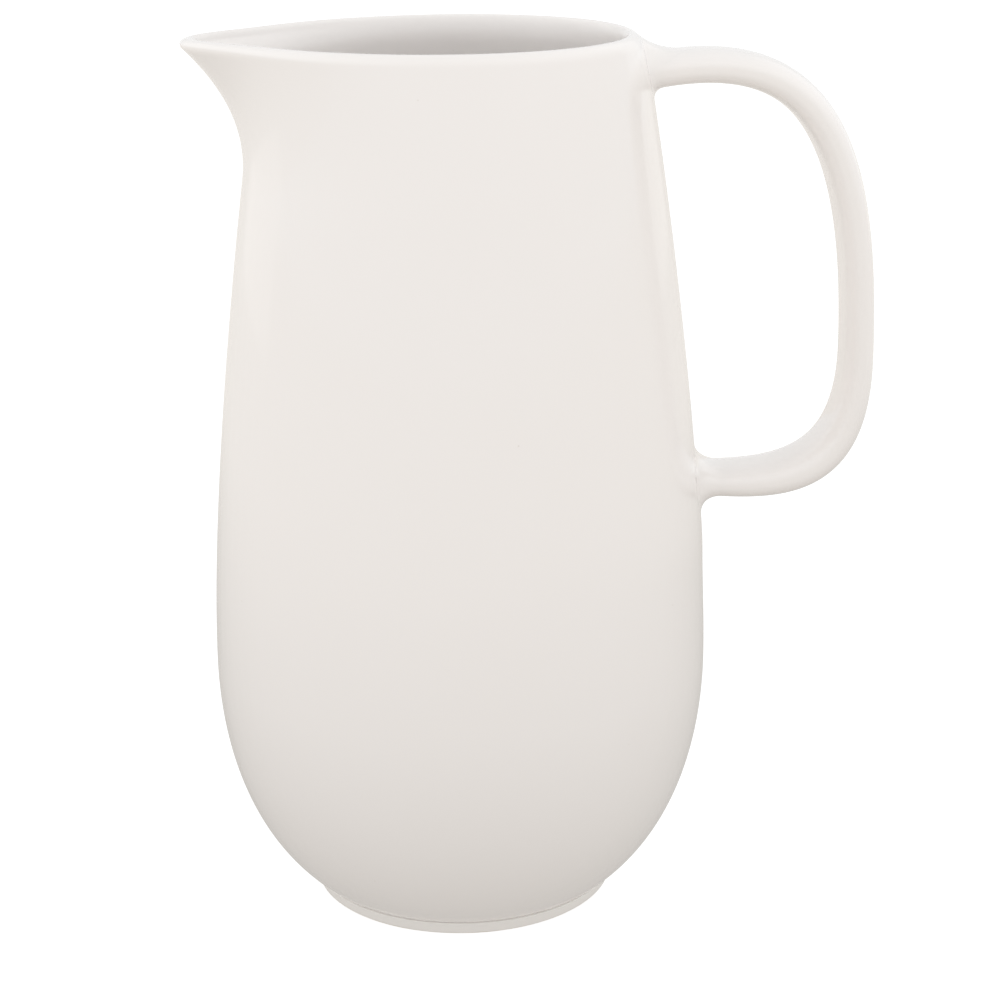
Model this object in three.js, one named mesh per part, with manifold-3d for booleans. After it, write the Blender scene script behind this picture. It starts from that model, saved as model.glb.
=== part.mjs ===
// A porcelain water pitcher: a slip-cast body with a pulled pouring lip, a turned foot ring and a
// strap handle that is luted to the wall at both ends. Millimetres, +Z up. The pouring lip points
// to -X and the handle to +X. The origin is on the table, under the middle of the outer box.

import * as THREE from 'three';
import { mergeVertices } from 'three/addons/utils/BufferGeometryUtils.js';
import Module from 'manifold-3d';

// Body. The outer profile is two Bezier curves that meet at the belly, upright.
const HEIGHT = 230;
const BELLY_RADIUS = 65.6;
const BELLY_HEIGHT = 66;
const RIM_RADIUS = 48.8;
const RIM_LEAN = THREE.MathUtils.degToRad(10.6);
const RIM_PULL = 25;
const SHOULDER_PULL = 49.3;
const BOWL_PULL = 16;
const BASE_RADIUS = 41.5;
const BASE_FLARE = THREE.MathUtils.degToRad(51);
const BASE_PULL = 27;
const WALL = 4;
const FLOOR = 5;
const FLOOR_CORNER = 1;

// Rim: it rounds over softly on the outside and tightly on the inside.
const RIM_OUTSIDE = { across: 2.6, down: 4 };
const RIM_INSIDE = { across: WALL - RIM_OUTSIDE.across, down: 2 };

// Pouring lip: the wall is pushed out towards -X, more and more up to the rim.
const LIP_REACH = 67.9;
const LIP_START = 194;
const LIP_TOP = 228;
const LIP_CURL = 2.1;
const LIP_CHEEKS = { share: 0.45, narrowness: 6 };
const LIP_THROAT = { share: 0.55, narrowness: 50 };

// Foot ring.
const FOOT_HEIGHT = 4;
const FOOT_RADIUS = 40.4;
const FOOT_STEP = 1.1;
const FOOT_WIDTH = 5;
const FOOT_ROUND = 0.6;

// Handle. The centre line leaves the wall, turns down at its furthest point and comes back.
const HANDLE_WIDTH = 20;
const HANDLE_REACH = 105.8;
const HANDLE_REACH_HEIGHT = 145.9;
const UPPER_ROOT = { radius: 50, height: 218.8, slope: THREE.MathUtils.degToRad(13.2), pull: 45 };
const LOWER_ROOT = { radius: 61, height: 112.1, slope: THREE.MathUtils.degToRad(-4.9), pull: 25.1 };
const UPPER_TURN_PULL = 53;
const LOWER_TURN_PULL = 36;
const HANDLE_THICKNESS = [9.5, 8.5, 7.9, 9.7, 8];
const SECTION_SQUARENESS = 2.4;

// Luted joints: each flares from the handle's section to a larger print on the wall. The outside
// is the side away from the finger gap.
const UPPER_JOINT_END = 64;
const LOWER_JOINT_END = 75;
const ROOT_DEPTH = 5;
const UPPER_FLARE = {
  outside: { size: 4, length: 13 },
  inside: { size: 3, length: 5 },
  side: { size: 2.5, length: 6 },
};
const LOWER_FLARE = {
  outside: { size: 4, length: 8 },
  inside: { size: 5.5, length: 8 },
  side: { size: 3.5, length: 8 },
};
const GAP = 0.3;

// Facets.
const AROUND = 60;
const BOWL_STEPS = 9;
const NECK_STEPS = 14;
const NECK_CROWDING = 1.6;
const RIM_STEPS = 6;
const HANDLE_STEPS = 18;
const SECTION_STEPS = 18;
const JOINT_STEPS = 7;
const WELD_DISTANCE = 1e-4;
const SEARCH_STEPS = 40;

// The body's axis is off the origin, because the handle reaches out further than the lip.
const HANDLE_OUTSIDE = HANDLE_REACH + HANDLE_THICKNESS[2] / 2;
const AXIS_X = (LIP_REACH - HANDLE_OUTSIDE) / 2;

const GLAZE = { color: 0xece9e4, roughness: 0.2, metalness: 0 };
const BARE_CLAY = { color: 0xe2ddd3, roughness: 0.75, metalness: 0 };

const wasm = await Module();
wasm.setup();

// The outside of the body from the foot to the rim's widest line, as (radius, height) points.
function outerProfile() {
  const belly = new THREE.Vector2(BELLY_RADIUS, BELLY_HEIGHT);
  const base = new THREE.Vector2(BASE_RADIUS, FOOT_HEIGHT);
  const rim = new THREE.Vector2(RIM_RADIUS, HEIGHT - RIM_OUTSIDE.down);
  const bowl = new THREE.CubicBezierCurve(
    base,
    new THREE.Vector2(
      base.x + BASE_PULL * Math.sin(BASE_FLARE),
      base.y + BASE_PULL * Math.cos(BASE_FLARE),
    ),
    new THREE.Vector2(belly.x, belly.y - BOWL_PULL),
    belly,
  );
  const neck = new THREE.CubicBezierCurve(
    belly,
    new THREE.Vector2(belly.x, belly.y + SHOULDER_PULL),
    new THREE.Vector2(
      rim.x + RIM_PULL * Math.sin(RIM_LEAN),
      rim.y - RIM_PULL * Math.cos(RIM_LEAN),
    ),
    rim,
  );
  const points = bowl.getPoints(BOWL_STEPS);
  for (let i = 1; i <= NECK_STEPS; i++) {
    points.push(neck.getPoint(1 - (1 - i / NECK_STEPS) ** NECK_CROWDING));
  }
  return points;
}

// The inside of the wall: the outer profile moved in along its normal, down to the floor.
function innerProfile(outer) {
  const moved = outer.map((point, i) => {
    const before = outer[Math.max(i - 1, 0)];
    const after = outer[Math.min(i + 1, outer.length - 1)];
    const along = after.clone().sub(before).normalize();
    return new THREE.Vector2(point.x - WALL * along.y, point.y + WALL * along.x);
  });
  moved[moved.length - 1].set(RIM_RADIUS - WALL, HEIGHT - RIM_INSIDE.down);
  const floorTop = FOOT_HEIGHT + FLOOR;
  return moved.filter((point) => point.y > floorTop + FLOOR_CORNER).reverse();
}

// The rounded rim between the two walls, from the outside over the crest to the inside.
function rimEdge() {
  const crest = RIM_RADIUS - RIM_OUTSIDE.across;
  const points = [];
  for (let i = 1; i < RIM_STEPS; i++) {
    const turn = (Math.PI * i) / RIM_STEPS;
    const side = turn < Math.PI / 2 ? RIM_OUTSIDE : RIM_INSIDE;
    points.push(new THREE.Vector2(
      crest + side.across * Math.cos(turn),
      HEIGHT - side.down * (1 - Math.sin(turn)),
    ));
  }
  return points;
}

// How far the wall is pushed out at a height and an angle from the lip's middle.
function lipPush(height, angle) {
  const rise = THREE.MathUtils.clamp((height - LIP_START) / (LIP_TOP - LIP_START), 0, 1);
  const nearness = Math.cos(angle / 2) ** 2;
  const spread = LIP_CHEEKS.share * nearness ** LIP_CHEEKS.narrowness
    + LIP_THROAT.share * nearness ** LIP_THROAT.narrowness;
  return (LIP_REACH - RIM_RADIUS) * rise ** LIP_CURL * spread;
}

// A turned solid about Z from (radius, height) points that start and end on the axis or close.
function turned(points) {
  const geometry = new THREE.LatheGeometry(points, AROUND);
  geometry.rotateX(Math.PI / 2);
  return welded(geometry);
}

function pushLip(geometry) {
  const position = geometry.attributes.position;
  for (let i = 0; i < position.count; i++) {
    const x = position.getX(i);
    const y = position.getY(i);
    const radius = Math.hypot(x, y);
    if (radius > 0) {
      const grown = (radius + lipPush(position.getZ(i), Math.atan2(y, -x))) / radius;
      position.setXY(i, x * grown, y * grown);
    }
  }
  return geometry;
}

// Shared vertices merged and no empty triangles, so that the mesh is one closed body.
function welded(geometry) {
  geometry.deleteAttribute('normal');
  geometry.deleteAttribute('uv');
  const merged = mergeVertices(geometry, WELD_DISTANCE);
  const index = Array.from(merged.index.array);
  const kept = [];
  for (let i = 0; i < index.length; i += 3) {
    const [a, b, c] = index.slice(i, i + 3);
    if (a !== b && b !== c && c !== a) kept.push(a, b, c);
  }
  merged.setIndex(kept);
  return merged;
}

// A closed solid through rings of points that all turn the same way, with flat ends.
function lofted(rings) {
  const count = rings[0].length;
  const points = rings.flat();
  const index = [];
  for (let i = 0; i < rings.length - 1; i++) {
    for (let j = 0; j < count; j++) {
      const a = i * count + j;
      const b = i * count + ((j + 1) % count);
      index.push(a, b, b + count, a, b + count, a + count);
    }
  }
  const last = (rings.length - 1) * count;
  for (let j = 1; j < count - 1; j++) {
    index.push(0, j + 1, j, last, last + j, last + j + 1);
  }
  const geometry = new THREE.BufferGeometry().setFromPoints(points);
  geometry.setIndex(index);
  return geometry;
}

function toSolid(geometry) {
  return new wasm.Manifold(new wasm.Mesh({
    numProp: 3,
    vertProperties: Float32Array.from(geometry.attributes.position.array),
    triVerts: Uint32Array.from(geometry.index.array),
  }));
}

function toGeometry(solid) {
  const mesh = solid.getMesh();
  const geometry = new THREE.BufferGeometry();
  geometry.setAttribute('position', new THREE.BufferAttribute(mesh.vertProperties, 3));
  geometry.setIndex(new THREE.BufferAttribute(mesh.triVerts, 1));
  return geometry;
}

// Places along the handle's centre line: its two roots and its furthest point.
const TOP = 0;
const FURTHEST = 1;
const BOTTOM = 2;

// The handle's centre line, in the XZ plane about the body's axis: an upper and a lower half.
function handleHalves() {
  const at = (radius, height) => new THREE.Vector3(radius, 0, height);
  const upper = UPPER_ROOT;
  const lower = LOWER_ROOT;
  const furthest = at(HANDLE_REACH, HANDLE_REACH_HEIGHT);
  return [
    new THREE.CubicBezierCurve3(
      at(upper.radius, upper.height),
      at(
        upper.radius + upper.pull * Math.cos(upper.slope),
        upper.height + upper.pull * Math.sin(upper.slope),
      ),
      at(HANDLE_REACH, HANDLE_REACH_HEIGHT + UPPER_TURN_PULL),
      furthest,
    ),
    new THREE.CubicBezierCurve3(
      furthest,
      at(HANDLE_REACH, HANDLE_REACH_HEIGHT - LOWER_TURN_PULL),
      at(
        lower.radius + lower.pull * Math.cos(lower.slope),
        lower.height + lower.pull * Math.sin(lower.slope),
      ),
      at(lower.radius, lower.height),
    ),
  ];
}

// The thickness at a place along the centre line, from TOP to BOTTOM.
function thicknessAt(place) {
  const spans = HANDLE_THICKNESS.length - 1;
  const step = (spans * (place - TOP)) / (BOTTOM - TOP);
  const i = THREE.MathUtils.clamp(Math.floor(step), 0, spans - 1);
  return THREE.MathUtils.lerp(HANDLE_THICKNESS[i], HANDLE_THICKNESS[i + 1], step - i);
}

// The centre line's point and direction at a place.
function centreLine(place) {
  const [upper, lower] = handleHalves();
  const curve = place < FURTHEST ? upper : lower;
  const t = place < FURTHEST ? place - TOP : place - FURTHEST;
  return { point: curve.getPoint(t), tangent: curve.getTangent(t) };
}

// A rounded section across the centre line. `grow` adds to it outside, inside and at each side.
function section({ point, tangent }, thickness, grow) {
  const outward = new THREE.Vector3(-tangent.z, 0, tangent.x);
  const ring = [];
  for (let i = 0; i < SECTION_STEPS; i++) {
    const turn = (2 * Math.PI * i) / SECTION_STEPS;
    const soften = (value) => Math.sign(value) * Math.abs(value) ** (2 / SECTION_SQUARENESS);
    const across = soften(Math.cos(turn)) * (HANDLE_WIDTH / 2 + grow.side);
    const rise = soften(Math.sin(turn));
    const reach = thickness / 2 + (rise > 0 ? grow.outside : grow.inside);
    ring.push(point.clone().addScaledVector(outward, rise * reach)
      .add(new THREE.Vector3(0, across, 0)));
  }
  return ring;
}

const NO_GROWTH = { outside: 0, inside: 0, side: 0 };

// The place between a root and the furthest point where the line is that far from the axis.
function placeAtRadius(radius, root) {
  let near = root;
  let far = FURTHEST;
  for (let i = 0; i < SEARCH_STEPS; i++) {
    const middle = (near + far) / 2;
    if (centreLine(middle).point.x < radius) near = middle;
    else far = middle;
  }
  return near;
}

function handle() {
  const start = placeAtRadius(UPPER_JOINT_END + GAP, TOP);
  const end = placeAtRadius(LOWER_JOINT_END + GAP, BOTTOM);
  const rings = [];
  for (let i = 0; i <= HANDLE_STEPS; i++) {
    const place = THREE.MathUtils.lerp(start, end, i / HANDLE_STEPS);
    rings.push(section(centreLine(place), thicknessAt(place), NO_GROWTH));
  }
  return lofted(rings);
}

// One luted joint, from the handle's end to inside the wall, cut to stand just clear of the wall.
function handleJoint(rootPlace, endRadius, flare, block) {
  const end = placeAtRadius(endRadius, rootPlace);
  const root = centreLine(rootPlace);
  const inward = root.tangent.clone().multiplyScalar(rootPlace === TOP ? -1 : 1);
  const rings = [];
  for (let i = 0; i <= JOINT_STEPS; i++) {
    const place = THREE.MathUtils.lerp(end, rootPlace, i / JOINT_STEPS);
    const here = centreLine(place);
    rings.push(flaredSection(here, place, root.point.x, flare));
  }
  const buried = {
    point: root.point.clone().addScaledVector(inward, ROOT_DEPTH),
    tangent: root.tangent,
  };
  rings.push(flaredSection(buried, rootPlace, root.point.x, flare));
  const ordered = rootPlace === TOP ? rings.reverse() : rings;
  const cut = toSolid(lofted(ordered)).subtract(block);
  return toGeometry(cut);
}

// The joint's section grows like a hollow quarter round as it nears the wall.
function flaredSection(here, place, rootRadius, flare) {
  const growth = ({ size, length }) => {
    const away = THREE.MathUtils.clamp((here.point.x - rootRadius) / length, 0, 1);
    return size * (1 - Math.sqrt(1 - (1 - away) ** 2));
  };
  const grow = {
    outside: growth(flare.outside),
    inside: growth(flare.inside),
    side: growth(flare.side),
  };
  return section(here, thicknessAt(place), grow);
}

function bodyShell() {
  const outer = outerProfile();
  const floorTop = FOOT_HEIGHT + FLOOR;
  const inner = innerProfile(outer);
  const points = [
    new THREE.Vector2(0, FOOT_HEIGHT),
    ...outer,
    ...rimEdge(),
    ...inner,
    new THREE.Vector2(inner[inner.length - 1].x - WALL, floorTop),
    new THREE.Vector2(0, floorTop),
  ];
  return pushLip(turned(points));
}

// What the joints must stay out of: the body filled in, a gap larger, and carried up past the rim.
function wallBlock() {
  const outer = outerProfile().map((point) => new THREE.Vector2(point.x + GAP, point.y));
  const above = HEIGHT + 2 * WALL;
  const points = [
    new THREE.Vector2(0, FOOT_HEIGHT),
    ...outer,
    new THREE.Vector2(RIM_RADIUS + GAP, above),
    new THREE.Vector2(0, above),
  ];
  return toSolid(turned(points));
}

function footRing() {
  const top = FOOT_HEIGHT - GAP;
  const inside = FOOT_RADIUS - FOOT_WIDTH;
  const points = [
    new THREE.Vector2(inside + FOOT_ROUND, 0),
    new THREE.Vector2(FOOT_RADIUS - FOOT_ROUND, 0),
    new THREE.Vector2(FOOT_RADIUS, FOOT_ROUND),
    new THREE.Vector2(FOOT_RADIUS + FOOT_STEP, top),
    new THREE.Vector2(inside - FOOT_STEP, top),
    new THREE.Vector2(inside, FOOT_ROUND),
    new THREE.Vector2(inside + FOOT_ROUND, 0),
  ];
  return turned(points);
}

const pitcher = new THREE.Group();

function addPiece(name, geometry, finish) {
  const mesh = new THREE.Mesh(geometry, new THREE.MeshStandardMaterial(finish));
  mesh.name = name;
  mesh.position.x = AXIS_X;
  pitcher.add(mesh);
}

const block = wallBlock();
addPiece('body_shell', bodyShell(), GLAZE);
addPiece('foot_ring', footRing(), BARE_CLAY);
addPiece('handle', handle(), GLAZE);
addPiece('upper_handle_joint', handleJoint(TOP, UPPER_JOINT_END, UPPER_FLARE, block), GLAZE);
addPiece('lower_handle_joint', handleJoint(BOTTOM, LOWER_JOINT_END, LOWER_FLARE, block), GLAZE);

export default pitcher;
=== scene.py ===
"""A glazed porcelain water pitcher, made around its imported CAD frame. Metres, +Z up.

The pouring lip points to -X and the handle to +X. Every outside surface is one formula of a height and
an angle, so that the handle's slip joints can run out on to the wall without a visible edge.
"""
import math

import bpy
import numpy as np
from mathutils import Matrix, Vector


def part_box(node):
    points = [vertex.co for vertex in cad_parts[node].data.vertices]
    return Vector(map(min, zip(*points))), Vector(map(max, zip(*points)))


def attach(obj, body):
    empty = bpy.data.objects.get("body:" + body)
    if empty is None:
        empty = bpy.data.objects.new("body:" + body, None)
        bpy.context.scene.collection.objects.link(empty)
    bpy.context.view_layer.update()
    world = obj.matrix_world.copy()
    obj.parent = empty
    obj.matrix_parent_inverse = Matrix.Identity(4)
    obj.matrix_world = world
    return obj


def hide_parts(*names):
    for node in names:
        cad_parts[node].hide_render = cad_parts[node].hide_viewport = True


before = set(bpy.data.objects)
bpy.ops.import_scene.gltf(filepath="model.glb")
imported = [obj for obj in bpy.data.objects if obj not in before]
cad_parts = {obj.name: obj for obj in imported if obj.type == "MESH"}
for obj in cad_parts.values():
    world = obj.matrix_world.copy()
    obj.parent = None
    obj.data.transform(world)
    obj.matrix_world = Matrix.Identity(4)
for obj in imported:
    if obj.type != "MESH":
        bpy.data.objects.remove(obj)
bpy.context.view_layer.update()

MM = 0.001

# Sizes that the frame gives.
body_low, body_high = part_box("body_shell")
foot_low, foot_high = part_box("foot_ring")
handle_low, handle_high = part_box("handle")
_, lower_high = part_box("lower_handle_joint")
AXIS_X = (foot_low.x + foot_high.x) / 2
HEIGHT = body_high.z
BELLY_RADIUS = (body_high.y - body_low.y) / 2
LIP_EXTRA = 0.5 * MM
LIP_REACH = AXIS_X - body_low.x + LIP_EXTRA
BASE_Z = body_low.z
FOOT_TOP_RADIUS = (foot_high.x - foot_low.x) / 2
HANDLE_HALF_WIDTH = (handle_high.y - handle_low.y) / 2
HANDLE_OUTSIDE = handle_high.x - AXIS_X
UPPER_JOINT_END = handle_low.x - AXIS_X
LOWER_JOINT_END = lower_high.x - AXIS_X

# Body profile: two Bezier curves that meet upright at the belly.
BELLY_Z = 66 * MM
CREST_RADIUS = 46.1 * MM
RIM_LEAN = math.radians(10.6)
RIM_PULL = 25 * MM
SHOULDER_PULL = 49.3 * MM
BOWL_PULL = 16 * MM
BASE_RADIUS = 41.5 * MM
BASE_FLARE = math.radians(51)
BASE_PULL = 27 * MM
BASE_EDGE = 0.6 * MM
WALL = 4 * MM
FLOOR = 5 * MM
FLOOR_CORNER = 11 * MM
FLOOR_CORNER_PULL = 0.7
FLOOR_CORNER_REACH = (0.4, 1.4)
AXIS_HOLE = 3 * MM

# Rim: half-widths and drops of the outer and the inner rounding.
RIM_OUTSIDE = (2.6 * MM, 4 * MM)
RIM_INSIDE = (1.8 * MM, 5 * MM)
RIM_GAP = 0.5 * MM

# Pouring lip.
LIP_START = 194 * MM
LIP_TOP = 228 * MM
LIP_CURL = 2.1
LIP_CHEEKS = (0.45, 6)
LIP_THROAT = (0.55, 50)
LIP_LIFT = 1.5 * MM
LIP_LIFT_START = 212 * MM
LIP_LIFT_NARROWNESS = 8

# The handle's weight draws the rim in a little where its joint runs into it.
DENT = 1.1 * MM
DENT_START = 214 * MM
DENT_NARROWNESS = 12

# It also pulls the wall out a little just under the lower joint.
SWELL = 0.5 * MM
SWELL_HEIGHT = 101 * MM
SWELL_SPREAD = 10 * MM

# Foot ring.
FOOT_RADIUS = 40.4 * MM
FOOT_WIDTH = 5 * MM
FOOT_CONTACT = 2.4 * MM
FOOT_EDGE = 0.9 * MM
FOOT_TOP_EDGE = 0.5 * MM
FOOT_TOP_DROP = 0.75 * MM
FOOT_TOP_INSET = 0.55 * MM
FOOT_OVERLAP = 0.25 * MM
FOOT_RECESS_EDGE = 0.8 * MM

# Handle centre line: two Bezier curves in the XZ plane that meet at the furthest point.
HANDLE_THICKNESS = [8.8 * MM, 8.7 * MM, 7.9 * MM, 9.8 * MM, 7.2 * MM]
HANDLE_REACH = HANDLE_OUTSIDE - HANDLE_THICKNESS[2] / 2
HANDLE_REACH_Z = 145.3 * MM
UPPER_ROOT = (50 * MM, 219.8 * MM, math.radians(10), 41 * MM)
LOWER_ROOT = (61 * MM, 111.9 * MM, math.radians(-3.8), 23.1 * MM)
UPPER_TURN_PULL = 60.5 * MM
LOWER_TURN_PULL = 36.3 * MM
OUTSIDE_SQUARENESS = 2.25
INSIDE_SQUARENESS = 2.9

# Slip joints: how deep their far edge sinks into the wall, and the ease-off below the rim.
JOINT_SINK = 1.2 * MM
JOINT_EASE = 2 * MM

# Mesh fineness.
AROUND = 320
CURVE_STEPS = 700
SKIN_STEPS = 1200
SKIN_RIM_STEPS = 200
WALL_STEPS = 130
LIP_STEPS = 44
RIM_STEPS = 30
INNER_LIP_STEPS = 40
INNER_WALL_STEPS = 120
CORNER_STEPS = 24
UNDER_STEPS = 14
FLOOR_STEPS = 12
SECTION_STEPS = 128
CENTRE_STEPS = 600
HANDLE_STEPS = 200
JOINT_STEPS = 44
SWEEP_STEPS = 11
SEARCH_STEPS = 40
SEARCH_DEPTH = 40 * MM

# Small steps that slopes are measured over.
SKIN_PROBE = 0.02 * MM
WALL_PROBE = 0.1 * MM
HANDLE_PROBE = 0.05 * MM
TURN_PROBE = 0.004


# ---------------------------------------------------------------- curves and the body's formula

def bezier(points, t):
    """Points on a cubic Bezier curve at each t."""
    a, b, c, d = (np.asarray(p, float) for p in points)
    t = np.asarray(t, float)[..., None]
    return (1 - t) ** 3 * a + 3 * (1 - t) ** 2 * t * b + 3 * (1 - t) * t * t * c + t ** 3 * d


def rim_point(turn):
    """A point of the rounded rim, from 0 outside over the crest at half a turn of pi to the inside."""
    outside = np.cos(turn) > 0
    across = np.where(outside, RIM_OUTSIDE[0], RIM_INSIDE[0])
    down = np.where(outside, RIM_OUTSIDE[1], RIM_INSIDE[1])
    return np.stack([
        CREST_RADIUS + across * np.cos(turn),
        HEIGHT - down * (1 - np.sin(turn)),
    ], axis=-1)


# Where the rim's rounding runs out into the leaning walls.
RIM_OUTSIDE_TURN = math.atan(RIM_OUTSIDE[1] / RIM_OUTSIDE[0] * math.tan(RIM_LEAN))
RIM_INSIDE_TURN = math.pi + math.atan(RIM_INSIDE[1] / RIM_INSIDE[0] * math.tan(RIM_LEAN))


def rim_curve(steps):
    """The rounded rim, from the outside over the top to the inside."""
    return rim_point(np.linspace(RIM_OUTSIDE_TURN, RIM_INSIDE_TURN, steps))


def outer_curve(steps):
    """The outside of the wall from the foot to the rim, as (radius, height) rows."""
    base = np.array([BASE_RADIUS, BASE_Z])
    belly = np.array([BELLY_RADIUS, BELLY_Z])
    rim = rim_point(RIM_OUTSIDE_TURN)
    bowl = [
        base,
        base + BASE_PULL * np.array([math.sin(BASE_FLARE), math.cos(BASE_FLARE)]),
        belly - [0, BOWL_PULL],
        belly,
    ]
    neck = [
        belly,
        belly + [0, SHOULDER_PULL],
        rim + RIM_PULL * np.array([math.sin(RIM_LEAN), -math.cos(RIM_LEAN)]),
        rim,
    ]
    t = np.linspace(0, 1, steps)
    return np.concatenate([bezier(bowl, t), bezier(neck, t)[1:]])


def spaced(points, count):
    """The same curve in evenly spaced points."""
    length = np.concatenate([[0], np.cumsum(np.linalg.norm(np.diff(points, axis=0), axis=1))])
    at = np.linspace(0, length[-1], count)
    return np.stack([np.interp(at, length, points[:, k]) for k in range(points.shape[1])], axis=1)


class Skin:
    """The body's outside, by distance along the profile and by distance round from the handle."""

    def __init__(self):
        rim = rim_point(np.linspace(RIM_OUTSIDE_TURN, math.pi / 2, SKIN_RIM_STEPS))
        profile = np.concatenate([outer_curve(SKIN_STEPS), rim[1:]])
        steps = np.linalg.norm(np.diff(profile, axis=0), axis=1)
        self.along = np.concatenate([[0], np.cumsum(steps)])
        self.radius, self.height = profile[:, 0], profile[:, 1]

    def at_height(self, z):
        return np.interp(z, self.height, self.along)

    def radius_at_height(self, z):
        return np.interp(z, self.height, self.radius)

    def point(self, along, side):
        """The point `along` the profile from the foot and `side` metres round from the handle."""
        radius = np.interp(along, self.along, self.radius)
        height = np.interp(along, self.along, self.height)
        turn = side / self.radius_at_height(LOWER_ROOT[1])
        radius = radius - dent(height, turn)
        return np.stack([AXIS_X + radius * np.cos(turn), radius * np.sin(turn), height], axis=-1)

    def normal(self, along, side):
        step = SKIN_PROBE
        up = self.point(along + step, side) - self.point(along - step, side)
        across = self.point(along, side + step) - self.point(along, side - step)
        return unit(np.cross(across, up))

    def locate(self, points):
        """The (along, side) of points that lie on the skin."""
        x, y = points[..., 0] - AXIS_X, points[..., 1]
        return self.at_height(points[..., 2]), np.arctan2(y, x) * self.radius_at_height(LOWER_ROOT[1])

    def outside(self, points):
        """How far points stand out from the skin, level with it."""
        x, y, z = points[..., 0] - AXIS_X, points[..., 1], points[..., 2]
        return np.hypot(x, y) - self.radius_at_height(z) + dent(z, np.arctan2(y, x))


def unit(vectors):
    return vectors / np.linalg.norm(vectors, axis=-1, keepdims=True)


def lip_push(height, angle):
    """How far the wall is pushed out at a height and an angle from the lip's middle."""
    rise = np.clip((height - LIP_START) / (LIP_TOP - LIP_START), 0, 1)
    near = np.cos(angle / 2) ** 2
    spread = LIP_CHEEKS[0] * near ** LIP_CHEEKS[1] + LIP_THROAT[0] * near ** LIP_THROAT[1]
    return (LIP_REACH - CREST_RADIUS - RIM_OUTSIDE[0]) * rise ** LIP_CURL * spread


def lip_lift(height, angle, outside):
    """How far the outer face is drawn up towards a thinner edge at the lip's middle."""
    rim_start = rim_point(RIM_OUTSIDE_TURN)[1]
    rise = np.clip((height - LIP_LIFT_START) / (rim_start - LIP_LIFT_START), 0, 1)
    fall = np.clip((HEIGHT - height) / (HEIGHT - rim_start), 0, 1)
    near = np.cos(angle / 2) ** 2
    return LIP_LIFT * rise ** 2 * fall * near ** LIP_LIFT_NARROWNESS * outside


def dent(height, angle):
    """How far the wall is drawn in, less how far it swells out, at an angle from the handle."""
    rise = np.clip((height - DENT_START) / (HEIGHT - DENT_START), 0, 1)
    swell = SWELL * np.exp(-((height - SWELL_HEIGHT) / SWELL_SPREAD) ** 2)
    return (DENT * rise ** 2 - swell) * np.cos(angle / 2) ** (2 * DENT_NARROWNESS)


# ---------------------------------------------------------------- meshes

def closed_mesh(name, rings, normals=None):
    """A closed smooth mesh through rings of points, with a fan of triangles over each end."""
    count, around = rings.shape[:2]
    ends = np.stack([rings[0].mean(axis=0), rings[-1].mean(axis=0)])
    points = np.concatenate([rings.reshape(-1, 3), ends])
    start, end, last = count * around, count * around + 1, (count - 1) * around
    here = np.arange(around)
    following = (here + 1) % around
    quads = band_quads(np.arange(count - 1), np.arange(1, count), around)
    fans = np.concatenate([
        np.stack([np.full(around, start), following, here], axis=1),
        np.stack([np.full(around, end), last + here, last + following], axis=1),
    ])
    piece = smooth_piece(name, points, [quads, fans])
    if normals is not None:
        caps = unit(ends - points.mean(axis=0))
        piece.data.normals_split_custom_set_from_vertices(
            np.concatenate([normals.reshape(-1, 3), caps]).tolist())
    return piece


def ring_mesh(name, rings):
    """A closed mesh of rings that also closes from the last ring to the first."""
    count, around = rings.shape[:2]
    rows = np.arange(count)
    quads = band_quads(rows, (rows + 1) % count, around)
    return smooth_piece(name, rings.reshape(-1, 3), [quads])


def band_quads(rows, next_rows, around):
    """Four-sided faces between each row of points and the row named beside it."""
    here = np.arange(around)
    following = (here + 1) % around
    low, high = rows[:, None] * around, next_rows[:, None] * around
    corners = [low + here, low + following, high + following, high + here]
    return np.stack([corner.ravel() for corner in corners], axis=1)


def smooth_piece(name, points, face_sets):
    """An object of smooth-shaded faces that all face outwards."""
    if sum(signed_volume(points, faces) for faces in face_sets) < 0:
        face_sets = [faces[:, ::-1] for faces in face_sets]
    mesh = bpy.data.meshes.new(name)
    mesh.from_pydata(points.tolist(), [], [face for faces in face_sets for face in faces.tolist()])
    mesh.polygons.foreach_set("use_smooth", [True] * len(mesh.polygons))
    mesh.update()
    piece = bpy.data.objects.new(name, mesh)
    bpy.context.scene.collection.objects.link(piece)
    return piece


def signed_volume(points, faces):
    """Six times the volume on the inner side of the faces."""
    first = points[faces[:, 0]]
    total = 0.0
    for m in range(1, faces.shape[1] - 1):
        total += (first * np.cross(points[faces[:, m]], points[faces[:, m + 1]])).sum()
    return total


def turned_rings(profile):
    """Angle from the lip, radius and height of each point when (radius, height) rows are turned."""
    angle = np.linspace(0, 2 * math.pi, AROUND, endpoint=False)
    radius = np.repeat(profile[:, :1], AROUND, axis=1)
    height = np.repeat(profile[:, 1:], AROUND, axis=1)
    return angle, radius, height


def about_axis(radius, angle, height):
    """Points at a radius and at an angle from the lip's middle."""
    return np.stack([AXIS_X - radius * np.cos(angle), -radius * np.sin(angle), height], axis=-1)


def arc(centre, radius, start, end, steps):
    """(radius, height) rows on a circular arc between two angles in degrees."""
    turn = np.radians(np.linspace(start, end, steps))
    return np.stack([centre[0] + radius * np.cos(turn), centre[1] + radius * np.sin(turn)], axis=1)


# ---------------------------------------------------------------- body

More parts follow.
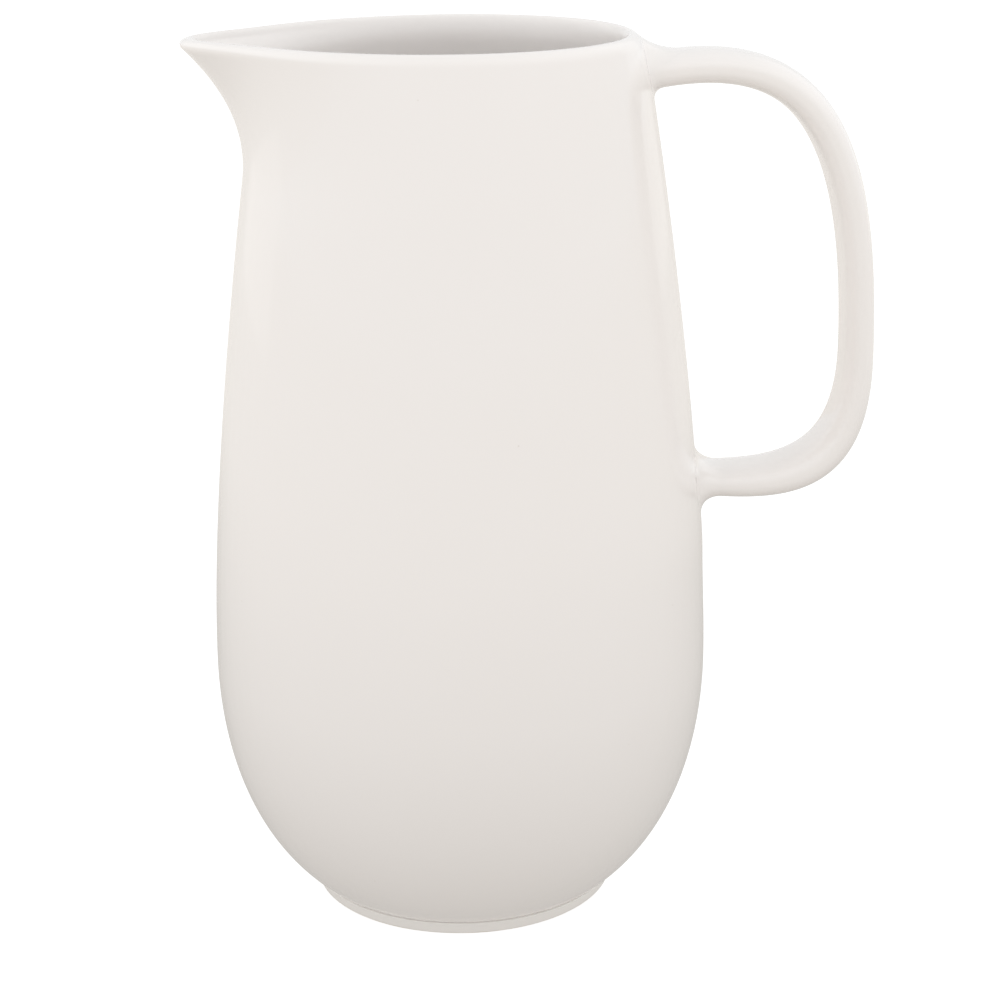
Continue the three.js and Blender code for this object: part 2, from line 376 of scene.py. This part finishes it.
def inner_curve(outer):
    """The inside of the wall from the rim down, rounded into the floor."""
    along = unit(np.gradient(outer, axis=0))
    moved = outer + WALL * np.stack([-along[:, 1], along[:, 0]], axis=1)
    rim = rim_point(RIM_INSIDE_TURN)
    at_rim = moved[-1, 0] - (rim[1] - moved[-1, 1]) * math.tan(RIM_LEAN)
    rise = np.clip((moved[:, 1] - LIP_START) / (rim[1] - LIP_START), 0, 1)
    moved[:, 0] += (rim[0] - at_rim) * rise
    floor_z = BASE_Z + FLOOR
    above_corner = moved[:, 1] > floor_z + FLOOR_CORNER / 2
    below_rim = moved[:, 1] < rim[1] - RIM_GAP
    wall = moved[above_corner & below_rim][::-1]
    corner = wall[-1]
    slope = unit(wall[-1] - wall[-2])
    meet = corner + slope * (corner[1] - floor_z) / -slope[1]
    curve = bezier([
        corner,
        corner + (meet - corner) * FLOOR_CORNER_PULL,
        meet - [FLOOR_CORNER * FLOOR_CORNER_REACH[0], 0],
        meet - [FLOOR_CORNER * FLOOR_CORNER_REACH[1], 0],
    ], np.linspace(0, 1, CORNER_STEPS))
    return np.concatenate([rim[None], wall, curve[1:]])


def level_line(start, end, z, steps):
    """(radius, height) rows at one height."""
    return np.stack([np.linspace(start, end, steps), np.full(steps, z)], axis=1)


def body_profile():
    """The whole wall as one line, from the middle of the underside to the middle of the floor."""
    outer = outer_curve(CURVE_STEPS)
    floor_z = BASE_Z + FLOOR
    edge = arc((BASE_RADIUS - BASE_EDGE * 0.4, BASE_Z + BASE_EDGE), BASE_EDGE, -90, -36, 7)
    above = outer[outer[:, 1] > edge[-1, 1] + 0.15 * MM]
    inner = inner_curve(outer)
    under = level_line(AXIS_HOLE, edge[0, 0] - 1 * MM, BASE_Z, UNDER_STEPS)
    floor = level_line(inner[-1, 0] - 2 * MM, AXIS_HOLE, floor_z, FLOOR_STEPS)
    lower = above[above[:, 1] < LIP_START]
    upper = above[above[:, 1] >= LIP_START]
    inner_upper = inner[inner[:, 1] >= LIP_START]
    inner_lower = inner[inner[:, 1] < LIP_START]
    return np.concatenate([
        under,
        edge,
        spaced(lower, WALL_STEPS),
        spaced(upper, LIP_STEPS)[:-1],
        rim_curve(RIM_STEPS),
        spaced(inner_upper, INNER_LIP_STEPS)[1:],
        spaced(inner_lower, INNER_WALL_STEPS),
        floor,
    ])


def make_body():
    profile = body_profile()
    angle, radius, height = turned_rings(profile)
    crest = profile[:, 1].argmax()
    outside = (np.arange(len(profile)) < crest)[:, None]
    height = height + lip_lift(height, angle, outside)
    radius = radius + lip_push(height, angle) - dent(height, angle - math.pi)
    return closed_mesh("body", about_axis(radius, angle, height))


# ---------------------------------------------------------------- foot

def make_foot():
    """The low ring under the bowl: a soft outer side, a narrow bare contact face and a recess."""
    inside = FOOT_RADIUS - FOOT_WIDTH
    top = BASE_Z + FOOT_OVERLAP
    shoulder = (FOOT_TOP_RADIUS - FOOT_TOP_INSET, BASE_Z - FOOT_TOP_DROP)
    recess = (inside - FOOT_RECESS_EDGE, BASE_Z - FOOT_RECESS_EDGE)
    profile = np.concatenate([
        [[FOOT_TOP_RADIUS - 2 * MM, top]],
        arc(shoulder, FOOT_TOP_EDGE, 90, 8, 7),
        arc((FOOT_RADIUS - FOOT_EDGE, FOOT_EDGE), FOOT_EDGE, -8, -90, 9),
        arc((FOOT_RADIUS - FOOT_EDGE - FOOT_CONTACT, FOOT_EDGE), FOOT_EDGE, -90, -172, 9),
        [[inside, BASE_Z - 1.2 * MM]],
        arc(recess, FOOT_RECESS_EDGE, 0, 80, 7),
        [[inside - 0.9 * MM, top]],
    ])
    angle, radius, height = turned_rings(profile)
    return ring_mesh("foot", about_axis(radius, angle, height))


# ---------------------------------------------------------------- handle

class CentreLine:
    """The handle's centre line by distance from the upper root, run straight on past both ends."""

    def __init__(self):
        halves = []
        furthest = np.array([HANDLE_REACH, HANDLE_REACH_Z])
        for (radius, z, slope, pull), turn_pull in (
                (UPPER_ROOT, UPPER_TURN_PULL), (LOWER_ROOT, -LOWER_TURN_PULL)):
            root = np.array([radius, z])
            halves.append(bezier([
                root,
                root + pull * np.array([math.cos(slope), math.sin(slope)]),
                furthest + [0, turn_pull],
                furthest,
            ], np.linspace(0, 1, CENTRE_STEPS)))
        upper, lower = halves
        line = np.concatenate([upper, lower[::-1][1:]])
        self.place = np.linspace(0, 2, 2 * CENTRE_STEPS - 1)
        steps = np.linalg.norm(np.diff(line, axis=0), axis=1)
        self.distance = np.concatenate([[0], np.cumsum(steps)])
        self.length = self.distance[-1]
        self.line = line
        self.direction = unit(np.gradient(line, self.distance, axis=0))
        knots = np.linspace(0, 2, len(HANDLE_THICKNESS))
        self.thickness = smooth_between(self.place, knots, np.array(HANDLE_THICKNESS))

    def at(self, distance):
        """Point, direction and thickness at each distance."""
        inside = np.clip(distance, 0, self.length)

        def pick(values):
            return np.interp(inside, self.distance, values)

        point = np.stack([pick(self.line[:, 0]), pick(self.line[:, 1])], axis=-1)
        direction = np.stack([pick(self.direction[:, 0]), pick(self.direction[:, 1])], axis=-1)
        direction = unit(direction)
        point = point + direction * (np.asarray(distance) - inside)[..., None]
        return point, direction, pick(self.thickness)

    def where_radius(self, radius, upper):
        """The distance at which the line is that far from the body's axis, on one arm."""
        half = self.place <= 1 if upper else self.place >= 1
        reach, distance = self.line[half, 0], self.distance[half]
        order = np.argsort(reach)
        return float(np.interp(radius, reach[order], distance[order]))


def smooth_between(x, knots, values):
    """Values at x that ease from knot to knot along a smooth curve."""
    slopes = np.gradient(values, knots)
    i = np.clip(np.searchsorted(knots, x, side="right") - 1, 0, len(knots) - 2)
    width = knots[i + 1] - knots[i]
    t = (x - knots[i]) / width
    from_left = (2 * t ** 3 - 3 * t ** 2 + 1) * values[i]
    from_right = (-2 * t ** 3 + 3 * t ** 2) * values[i + 1]
    left_slope = (t ** 3 - 2 * t ** 2 + t) * width * slopes[i]
    right_slope = (t ** 3 - t ** 2) * width * slopes[i + 1]
    return from_left + left_slope + from_right + right_slope


SECTION_TURN = np.linspace(0, 2 * math.pi, SECTION_STEPS, endpoint=False)


def handle_points(line, distance, turn=SECTION_TURN):
    """Points of the handle's surface at each distance and at each turn round the section."""
    point, direction, thickness = line.at(distance)
    outward = np.stack([-direction[..., 1], direction[..., 0]], axis=-1)
    rise = np.sin(turn)
    power = 2 / np.where(rise > 0, OUTSIDE_SQUARENESS, INSIDE_SQUARENESS)
    across = np.sign(np.cos(turn)) * np.abs(np.cos(turn)) ** power * HANDLE_HALF_WIDTH
    reach = np.sign(rise) * np.abs(rise) ** power * thickness / 2
    x = point[..., 0] + outward[..., 0] * reach
    z = point[..., 1] + outward[..., 1] * reach
    return np.stack([AXIS_X + x, np.broadcast_to(across, x.shape), z], axis=-1)


def handle_normals(line, distance, turn=SECTION_TURN):
    step, twist = HANDLE_PROBE, TURN_PROBE
    along = handle_points(line, distance + step, turn) - handle_points(line, distance - step, turn)
    around = handle_points(line, distance, turn + twist) - handle_points(line, distance, turn - twist)
    return unit(np.cross(around, along))


def outward_of(normals, points, line, distance):
    """The normals, turned round if they point to the centre line."""
    centre, _, _ = line.at(distance)
    middle = np.stack([AXIS_X + centre[..., 0], np.zeros_like(centre[..., 0]), centre[..., 1]], axis=-1)
    inward = (normals * (points - middle)).sum(axis=-1, keepdims=True) < 0
    return np.where(inward, -normals, normals)


def make_handle(line, start, end):
    distance = np.linspace(start, end, HANDLE_STEPS)[:, None]
    points = handle_points(line, distance)
    normals = outward_of(handle_normals(line, distance), points, line, distance)
    return closed_mesh("handle_strap", points, normals)


# ---------------------------------------------------------------- slip joints

def by_side(turn, outside, inside, side):
    """A size that is `outside` away from the finger gap, `inside` towards it, `side` between."""
    rise = np.sin(turn)
    up, down = np.clip(rise, 0, 1) ** 2, np.clip(-rise, 0, 1) ** 2
    return side + (outside - side) * up + (inside - side) * down


def wall_distance(line, skin, start, inward):
    """For each turn, the distance along the handle at which its surface meets the wall."""
    near = np.full(SECTION_STEPS, start)
    far = np.full(SECTION_STEPS, start + inward * SEARCH_DEPTH)
    for _ in range(SEARCH_STEPS):
        middle = (near + far) / 2
        out = skin.outside(handle_points(line, middle)) > 0
        near = np.where(out, middle, near)
        far = np.where(out, far, middle)
    return (near + far) / 2


def make_joint(name, line, skin, start, inward, run, spread, hold, highest):
    """The flare from the handle's end to the wall.

    `run` is how far along the handle each side starts to flare, `spread` how far it runs out over
    the wall, and `hold` how long it keeps to the handle and to the wall before it turns.
    """
    meet = wall_distance(line, skin, start, inward)
    corner = handle_points(line, meet)
    leave = handle_points(line, meet - inward * run)
    along, side = skin.locate(corner)
    centre = np.array([along.mean(), 0.0])
    flat = np.stack([along, side], axis=-1)
    tangent = unit(np.roll(flat, -1, axis=0) - np.roll(flat, 1, axis=0))
    away = np.stack([tangent[:, 1], -tangent[:, 0]], axis=-1)
    away = np.where(((flat - centre) * away).sum(axis=-1, keepdims=True) < 0, -away, away)
    landing = flat + away * spread[:, None]
    landing[:, 0] = soft_limit(landing[:, 0], highest)
    print_ring = skin.point(landing[:, 0], landing[:, 1])
    print_normal = skin.normal(landing[:, 0], landing[:, 1])
    before = landing - away * WALL_PROBE
    behind = skin.point(before[:, 0], before[:, 1])
    arrive = unit(print_ring - behind)
    reach = np.linalg.norm(print_ring - corner, axis=-1, keepdims=True)
    first = leave + (corner - leave) * hold[0][:, None]
    second = print_ring - arrive * reach * hold[1][:, None]
    straight = np.linspace(0, 1, SWEEP_STEPS + 1)[:-1, None]
    sweep = handle_points(line, start + (meet - inward * run - start)[None, :] * straight)
    t = np.linspace(0, 1, JOINT_STEPS)
    flare = np.stack([
        bezier([leave[j], first[j], second[j], print_ring[j]], t) for j in range(SECTION_STEPS)
    ], axis=1)
    surface = np.concatenate([sweep, flare])
    normals = grid_normals(surface)
    first_ring = np.full((1, 1), start)
    normals[0] = outward_of(
        handle_normals(line, first_ring), handle_points(line, first_ring), line, first_ring)[0]
    normals[-1] = print_normal
    sunk = print_ring - print_normal * JOINT_SINK
    rings = np.concatenate([surface, sunk[None]])
    return closed_mesh(name, rings, np.concatenate([normals, print_normal[None]]))


def soft_limit(values, highest):
    """Values that level off below `highest` without a kink."""
    eased_from = highest - JOINT_EASE
    over = np.clip(values - eased_from, 0, None)
    eased = eased_from + JOINT_EASE * (1 - np.exp(-over / JOINT_EASE))
    return np.where(values > eased_from, eased, values)


def grid_normals(points):
    """Outward normals of a grid of rings, by differences along and around."""
    along = np.gradient(points, axis=0)
    around = np.roll(points, -1, axis=1) - np.roll(points, 1, axis=1)
    normals = unit(np.cross(around, along))
    outward = points - points.mean(axis=1, keepdims=True)
    if (normals * outward).sum() < 0:
        normals = -normals
    return normals


# ---------------------------------------------------------------- materials

# Glaze: the low and the high tint that it drifts between, its specks, its waviness and its grain.
GLAZE_TINTS = (0.952, 0.917, 0.892, 1), (0.968, 0.938, 0.916, 1)
DRIFT_SCALE = 14
SPECK_SCALE = 95
SPECK_EDGE = (0.012, 0.03)
SPECK_STRENGTH = 0.22
SPECK_COLOUR = (0.52, 0.44, 0.35, 1)
WAVE_SCALE = 38
WAVE_DEPTH = 0.12 * MM
GRAIN_SCALE = 520
GRAIN_DEPTH = 0.0022 * MM
GLAZE_ROUGHNESS = (0.2, 0.27)
GLAZE_IOR = 1.5

# Foot: its glaze, and the bare clay that starts at a ragged edge just above the contact face.
FOOT_TINTS = (0.93, 0.9, 0.865, 1), (0.945, 0.92, 0.89, 1)
BARE_EDGE = (0.55 * MM, 0.8 * MM)
BARE_EDGE_SCALE = 160
BARE_EDGE_WANDER = 0.6 * MM
BARE_CLAY = (0.74, 0.69, 0.61, 1)
FOOT_ROUGHNESS = (0.24, 0.85)


def new_material(name):
    material = bpy.data.materials.new(name)
    material.use_nodes = True
    return material, material.node_tree.nodes, material.node_tree.links


def math_node(nodes, links, operation, *values):
    """A maths node's output; each value is a socket to link or a number to set."""
    node = nodes.new("ShaderNodeMath")
    node.operation = operation
    for k, value in enumerate(values):
        if isinstance(value, (int, float)):
            node.inputs[k].default_value = value
        else:
            links.new(value, node.inputs[k])
    return node.outputs["Value"]


def map_range(nodes, links, value, given, wanted, curve="LINEAR"):
    """The output of a node that maps one range of a value on to another, clipped at both ends."""
    node = nodes.new("ShaderNodeMapRange")
    node.interpolation_type = curve
    node.inputs["From Min"].default_value = given[0]
    node.inputs["From Max"].default_value = given[1]
    node.inputs["To Min"].default_value = wanted[0]
    node.inputs["To Max"].default_value = wanted[1]
    links.new(value, node.inputs["Value"])
    return node.outputs["Result"]


def noise(nodes, links, place, scale, detail):
    """A noise pattern of the object's own coordinates."""
    node = nodes.new("ShaderNodeTexNoise")
    node.inputs["Scale"].default_value = scale
    node.inputs["Detail"].default_value = detail
    links.new(place.outputs["Object"], node.inputs["Vector"])
    return node.outputs["Fac"]


def bump(nodes, links, height, distance):
    """A bump node of a height pattern, so many metres deep."""
    node = nodes.new("ShaderNodeBump")
    node.inputs["Strength"].default_value = 1.0
    node.inputs["Distance"].default_value = distance
    links.new(height, node.inputs["Height"])
    return node


def glaze_nodes(nodes, links, shader, tint_low, tint_high):
    """Colour that drifts very slightly, a glaze that is a little wavy, and rare brown specks."""
    place = nodes.new("ShaderNodeTexCoord")
    drift = noise(nodes, links, place, DRIFT_SCALE, 3)
    tint = nodes.new("ShaderNodeMix")
    tint.data_type = "RGBA"
    tint.inputs["A"].default_value = tint_low
    tint.inputs["B"].default_value = tint_high
    links.new(drift, tint.inputs["Factor"])

    specks = nodes.new("ShaderNodeTexVoronoi")
    specks.inputs["Scale"].default_value = SPECK_SCALE
    links.new(place.outputs["Object"], specks.inputs["Vector"])
    dot = map_range(nodes, links, specks.outputs["Distance"], SPECK_EDGE, (SPECK_STRENGTH, 0))
    speckled = nodes.new("ShaderNodeMix")
    speckled.data_type = "RGBA"
    speckled.inputs["B"].default_value = SPECK_COLOUR
    links.new(dot, speckled.inputs["Factor"])
    links.new(tint.outputs["Result"], speckled.inputs["A"])
    links.new(speckled.outputs["Result"], shader.inputs["Base Color"])

    broad = bump(nodes, links, noise(nodes, links, place, WAVE_SCALE, 1), WAVE_DEPTH)
    fine = bump(nodes, links, noise(nodes, links, place, GRAIN_SCALE, 2), GRAIN_DEPTH)
    links.new(broad.outputs["Normal"], fine.inputs["Normal"])
    links.new(fine.outputs["Normal"], shader.inputs["Normal"])
    links.new(fine.outputs["Normal"], shader.inputs["Coat Normal"])

    polish = map_range(nodes, links, drift, (0.3, 0.7), GLAZE_ROUGHNESS)
    links.new(polish, shader.inputs["Roughness"])
    return place


def porcelain_glaze():
    """Clear gloss glaze over warm white porcelain."""
    material, nodes, links = new_material("porcelain_glaze")
    shader = nodes["Principled BSDF"]
    shader.inputs["IOR"].default_value = GLAZE_IOR
    shader.inputs["Coat Weight"].default_value = 1.0
    shader.inputs["Coat Roughness"].default_value = 0.09
    shader.inputs["Coat IOR"].default_value = GLAZE_IOR
    glaze_nodes(nodes, links, shader, *GLAZE_TINTS)
    return material


def foot_finish():
    """The same glaze on the ring's sides, and dry ground clay on the face that it stands on."""
    material, nodes, links = new_material("foot_finish")
    shader = nodes["Principled BSDF"]
    shader.inputs["IOR"].default_value = GLAZE_IOR
    place = glaze_nodes(nodes, links, shader, *FOOT_TINTS)
    split = nodes.new("ShaderNodeSeparateXYZ")
    links.new(place.outputs["Object"], split.inputs["Vector"])
    ragged = noise(nodes, links, place, BARE_EDGE_SCALE, 2)
    edge = math_node(nodes, links, "MULTIPLY_ADD", ragged, BARE_EDGE_WANDER, split.outputs["Z"])
    bare = map_range(nodes, links, edge, BARE_EDGE, (1, 0))
    colour_link = shader.inputs["Base Color"].links[0]
    glazed = colour_link.from_socket
    links.remove(colour_link)
    mixed = nodes.new("ShaderNodeMix")
    mixed.data_type = "RGBA"
    mixed.inputs["B"].default_value = BARE_CLAY
    links.new(glazed, mixed.inputs["A"])
    links.new(bare, mixed.inputs["Factor"])
    links.new(mixed.outputs["Result"], shader.inputs["Base Color"])
    rough = map_range(nodes, links, bare, (0, 1), FOOT_ROUGHNESS)
    links.new(rough, shader.inputs["Roughness"])
    return material


# ---------------------------------------------------------------- put the pieces on the frame

def place_piece(piece, node, material):
    piece.data.materials.append(material)
    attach(piece, "root")
    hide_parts(node)


skin = Skin()
line = CentreLine()
handle_start = line.where_radius(UPPER_JOINT_END, upper=True)
handle_end = line.where_radius(LOWER_JOINT_END, upper=False)
glaze = porcelain_glaze()

place_piece(make_body(), "body_shell", glaze)
place_piece(make_foot(), "foot_ring", foot_finish())
place_piece(make_handle(line, handle_start, handle_end), "handle", glaze)

upper_joint = make_joint(
    "upper_slip_joint", line, skin, handle_start, -1,
    run=by_side(SECTION_TURN, 11 * MM, 2.8 * MM, 2.8 * MM),
    spread=by_side(SECTION_TURN, 6.6 * MM, 2.8 * MM, 1.8 * MM),
    hold=(by_side(SECTION_TURN, 0.66, 0.6, 0.6), by_side(SECTION_TURN, 0.36, 0.6, 0.6)),
    highest=skin.at_height(HEIGHT - 0.25 * MM),
)
place_piece(upper_joint, "upper_handle_joint", glaze)

lower_joint = make_joint(
    "lower_slip_joint", line, skin, handle_end, 1,
    run=by_side(SECTION_TURN, 6 * MM, 8 * MM, 6.5 * MM),
    spread=by_side(SECTION_TURN, 5.5 * MM, 8 * MM, 5 * MM),
    hold=(by_side(SECTION_TURN, 0.6, 0.6, 0.6), by_side(SECTION_TURN, 0.6, 0.6, 0.6)),
    highest=skin.at_height(HEIGHT),
)
place_piece(lower_joint, "lower_handle_joint", glaze)


# ---------------------------------------------------------------- studio and camera

# Radiance of the white studio all round: at eye level, overhead, and what the large lit sheets
# hanging high at both sides and in front add. The table's glow is painted darker close to the pitcher,
# as painted shade.
SKY_HORIZON = 0.9
SKY_TOP = 0.74
SKY_SIDES = 0.95
SKY_FRONT = 0.36
# The table's near strength is painted shade: its glow is darker close to the pitcher than further out.
TABLE_NEAR_PAINTED_SHADE = 0.57
TABLE_FAR = 0.85
TABLE_PAINTED_SHADE_REACH = (0.08, 0.7)
TABLE_TINT = (1, 0.96, 0.91, 1)
STAGE_HALF = 6.0
BACKDROP_RADIUS = 8.0
BACKDROP_STRENGTH = 1.05
SWEEP_GLOW = 0.86
SWEEP_PAINT = (0.3, 0.3, 0.3, 1)
LIGHTS_AIM = (0, 0, 0.12)


def add_camera():
    """An 85 mm lens a little above the rim, looking down past the body, with the lip at the left."""
    turn = math.radians(4.0)
    pitch = math.radians(17.358)
    roll = math.radians(0.534)
    stand = Vector((10.98 * MM, -600.0 * MM, 294.7 * MM))
    data = bpy.data.cameras.new("camera")
    data.lens = 85
    data.sensor_width = 36
    camera = bpy.data.objects.new("camera", data)
    bpy.context.scene.collection.objects.link(camera)
    around = Matrix.Rotation(-turn, 4, "Z")
    place = around @ stand
    camera.matrix_world = (
        Matrix.Translation(place + Vector((AXIS_X, 0, 0))) @ around
        @ Matrix.Rotation(math.pi / 2 - pitch, 4, "X") @ Matrix.Rotation(-roll, 4, "Z"))
    bpy.context.scene.camera = camera


def add_softbox(name, place, width, height, watts):
    """A weak rectangular light behind the pitcher, for the soft band along each edge."""
    data = bpy.data.lights.new(name, "AREA")
    data.shape = "RECTANGLE"
    data.size = width
    data.size_y = height
    data.energy = watts
    lamp = bpy.data.objects.new(name, data)
    bpy.context.scene.collection.objects.link(lamp)
    lamp.location = place
    lamp.rotation_mode = "QUATERNION"
    lamp.rotation_quaternion = (Vector(LIGHTS_AIM) - Vector(place)).to_track_quat("-Z", "Y")


def backdrop_material():
    material, nodes, links = new_material("white_backdrop")
    nodes.remove(nodes["Principled BSDF"])
    glow = nodes.new("ShaderNodeEmission")
    glow.inputs["Strength"].default_value = BACKDROP_STRENGTH
    links.new(glow.outputs["Emission"], nodes["Material Output"].inputs["Surface"])
    return material


def add_floor(name, z, material):
    half = STAGE_HALF
    mesh = bpy.data.meshes.new(name)
    corners = [(-half, -half, z), (half, -half, z), (half, half, z), (-half, half, z)]
    mesh.from_pydata(corners, [], [(0, 1, 2, 3)])
    mesh.materials.append(material)
    floor = bpy.data.objects.new(name, mesh)
    bpy.context.scene.collection.objects.link(floor)
    return floor


def white_floor_material():
    """A white sweep that is nearly even, with only the faintest contact shadow."""
    material, nodes, links = new_material("white_floor")
    nodes.remove(nodes["Principled BSDF"])
    glow = nodes.new("ShaderNodeEmission")
    glow.inputs["Strength"].default_value = SWEEP_GLOW
    paint = nodes.new("ShaderNodeBsdfDiffuse")
    paint.inputs["Color"].default_value = SWEEP_PAINT
    both = nodes.new("ShaderNodeAddShader")
    links.new(glow.outputs["Emission"], both.inputs[0])
    links.new(paint.outputs["BSDF"], both.inputs[1])
    links.new(both.outputs["Shader"], nodes["Material Output"].inputs["Surface"])
    return material


def table_glow_painted_shade_material():
    """The table as the pitcher sees it: a glow with painted shade, a warm grey close by that turns
    white further out.
    """
    material, nodes, links = new_material("table")
    nodes.remove(nodes["Principled BSDF"])
    place = nodes.new("ShaderNodeTexCoord")
    distance = nodes.new("ShaderNodeVectorMath")
    distance.operation = "LENGTH"
    links.new(place.outputs["Object"], distance.inputs[0])
    # Painted shade: the glow is weaker close to the pitcher, standing in for the shade under it.
    strength = map_range(
        nodes, links, distance.outputs["Value"], TABLE_PAINTED_SHADE_REACH, (TABLE_NEAR_PAINTED_SHADE, TABLE_FAR), "SMOOTHSTEP")
    glow = nodes.new("ShaderNodeEmission")
    glow.inputs["Color"].default_value = TABLE_TINT
    links.new(strength, glow.inputs["Strength"])
    links.new(glow.outputs["Emission"], nodes["Material Output"].inputs["Surface"])
    return material


def add_studio():
    world = bpy.data.worlds.new("studio")
    bpy.context.scene.world = world
    world.use_nodes = True
    nodes, links = world.node_tree.nodes, world.node_tree.links
    background = nodes["Background"]
    background.inputs["Color"].default_value = (1, 1, 1, 1)
    place = nodes.new("ShaderNodeTexCoord")
    split = nodes.new("ShaderNodeSeparateXYZ")
    links.new(place.outputs["Generated"], split.inputs["Vector"])
    x, y, z = (split.outputs[axis] for axis in "XYZ")
    even = map_range(nodes, links, z, (0, 0.9), (SKY_HORIZON, SKY_TOP), "SMOOTHSTEP")
    upward = map_range(nodes, links, z, (0, 1), (0, 1), "SMOOTHSTEP")
    frontward = map_range(nodes, links, y, (-1, 0), (SKY_FRONT, 0), "SMOOTHSTEP")
    sideways = math_node(nodes, links, "MULTIPLY", x, x)
    sheets = math_node(nodes, links, "MULTIPLY_ADD", sideways, SKY_SIDES, frontward)
    whole = math_node(nodes, links, "MULTIPLY_ADD", sheets, upward, even)
    links.new(whole, background.inputs["Strength"])

    # The white floor and backdrop only show in the picture. The table only lights the pitcher.
    for backing in (add_floor("seen_floor", 0.0, white_floor_material()), add_dome()):
        backing.visible_diffuse = False
        backing.visible_glossy = False
        backing.visible_shadow = False
    lit = add_floor("bounce_floor", -0.05 * MM, table_glow_painted_shade_material())
    lit.visible_camera = False

    add_softbox("left_softbox", (-1.0, 0.7, 0.5), width=0.9, height=1.3, watts=0.5)
    add_softbox("right_softbox", (0.85, 0.85, 0.5), width=0.6, height=1.3, watts=0.3)


def add_dome():
    """The white backdrop that the camera sees all round."""
    steps, radius = 24, BACKDROP_RADIUS
    rise = np.linspace(-math.pi / 2, math.pi / 2, steps)
    turn = np.linspace(0, 2 * math.pi, 2 * steps, endpoint=False)
    rings = np.stack([
        radius * np.cos(rise[1:-1, None]) * np.cos(turn),
        radius * np.cos(rise[1:-1, None]) * np.sin(turn),
        radius * np.repeat(np.sin(rise[1:-1, None]), 2 * steps, axis=1),
    ], axis=-1)
    dome = closed_mesh("backdrop", rings)
    dome.data.materials.append(backdrop_material())
    return dome


add_camera()
add_studio()
bpy.context.scene.view_settings.view_transform = "Standard"
